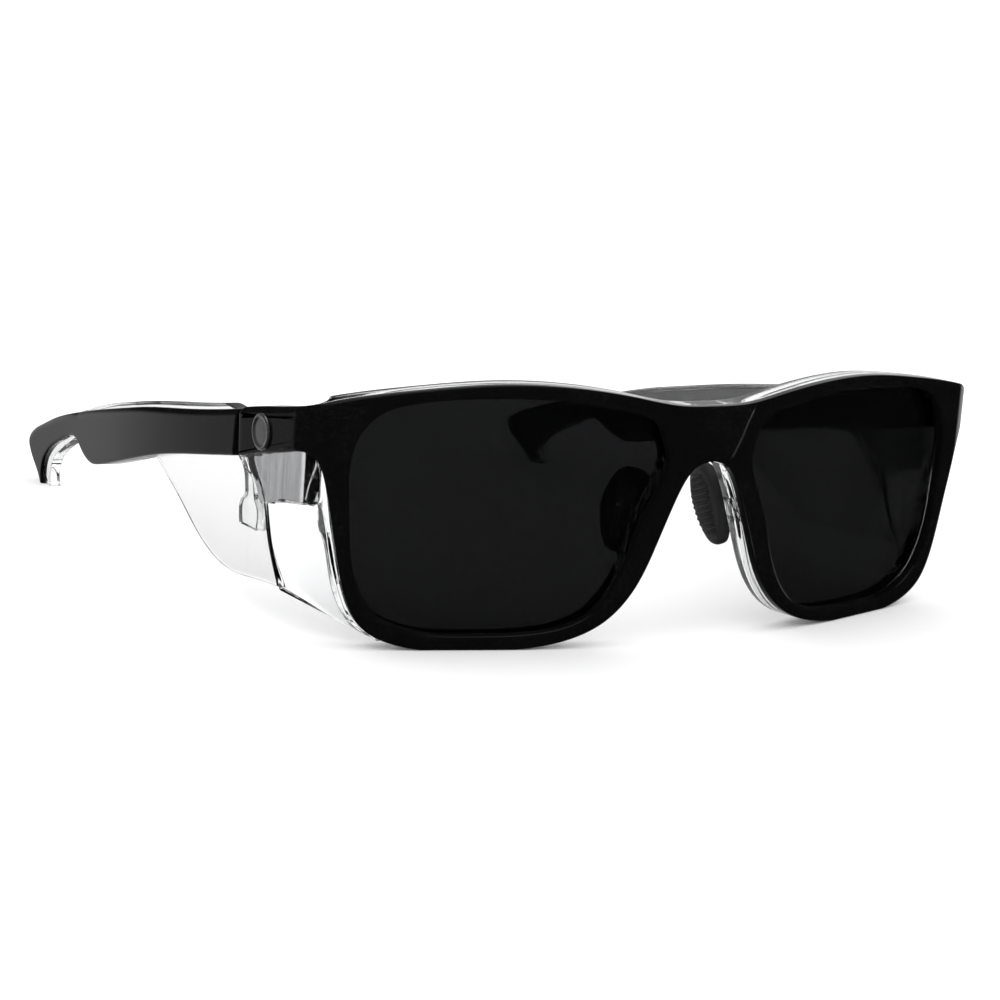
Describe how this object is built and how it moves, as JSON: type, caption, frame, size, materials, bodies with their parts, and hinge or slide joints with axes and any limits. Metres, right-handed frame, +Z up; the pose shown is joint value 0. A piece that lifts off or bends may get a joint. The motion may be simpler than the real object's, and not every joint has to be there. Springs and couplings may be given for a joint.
{
  "type": "safety glasses",
  "caption": "Safety glasses with a two-tone black and clear frame, dark tinted lenses, soft nose pads, clear side wings and folding temples with clear rear shields.",
  "frame": {"origin": "middle of the object's footprint, on the surface that the rims and temple tips rest on", "axes": "+X to the wearer's left, +Y back towards the ears, +Z up; the front faces -Y"},
  "size_m": [0.1454, 0.1628, 0.046],
  "materials": {
    "black_frame": "polished black injection-moulded nylon",
    "clear_frame": "clear polished polycarbonate",
    "tinted_lens": "dark smoke polycarbonate with a hard coat",
    "pad_rubber": "matte soft rubber with fine ribs",
    "hinge_metal": "satin nickel silver",
    "plaque_metal": "polished plaque with a brushed field"
  },
  "bodies": {
    "front": {"front_shell": "black_frame", "front_liner": "clear_frame", "lens_left": "tinted_lens", "lens_right": "tinted_lens", "side_wing_left": "clear_frame", "side_wing_right": "clear_frame", "hinge_front_leaf_left": "hinge_metal", "hinge_front_leaf_right": "hinge_metal", "hinge_screw_left": "hinge_metal", "hinge_screw_right": "hinge_metal", "nose_pad_left": "pad_rubber", "nose_pad_right": "pad_rubber", "pad_carrier_left": "clear_frame", "pad_carrier_right": "clear_frame", "plaque_left": "plaque_metal", "plaque_right": "plaque_metal", "front_rivet_1_left": "hinge_metal", "front_rivet_1_right": "hinge_metal", "front_rivet_2_left": "hinge_metal", "front_rivet_2_right": "hinge_metal"},
    "temple_left": {"hinge_temple_leaf_left": "hinge_metal", "temple_shell_left": "black_frame", "temple_liner_left": "clear_frame", "rear_shield_left": "clear_frame", "shield_clip_left": "clear_frame", "temple_rivet_1_left": "hinge_metal", "temple_rivet_2_left": "hinge_metal", "shield_pin_1_left": "clear_frame", "shield_pin_2_left": "clear_frame"},
    "temple_right": {"hinge_temple_leaf_right": "hinge_metal", "temple_shell_right": "black_frame", "temple_liner_right": "clear_frame", "rear_shield_right": "clear_frame", "shield_clip_right": "clear_frame", "temple_rivet_1_right": "hinge_metal", "temple_rivet_2_right": "hinge_metal", "shield_pin_1_right": "clear_frame", "shield_pin_2_right": "clear_frame"}
  },
  "joints": [
    {"name": "temple_left_fold", "type": "hinge", "parent": "front", "child": "temple_left", "pos_m": [0.0656, -0.03985, 0.032], "axis": [0, 0.1736, 0.9848], "range_deg": [0, 90]},
    {"name": "temple_right_fold", "type": "hinge", "parent": "front", "child": "temple_right", "pos_m": [-0.0656, -0.03985, 0.032], "axis": [0, -0.1736, -0.9848], "range_deg": [0, 80]}
  ]
}
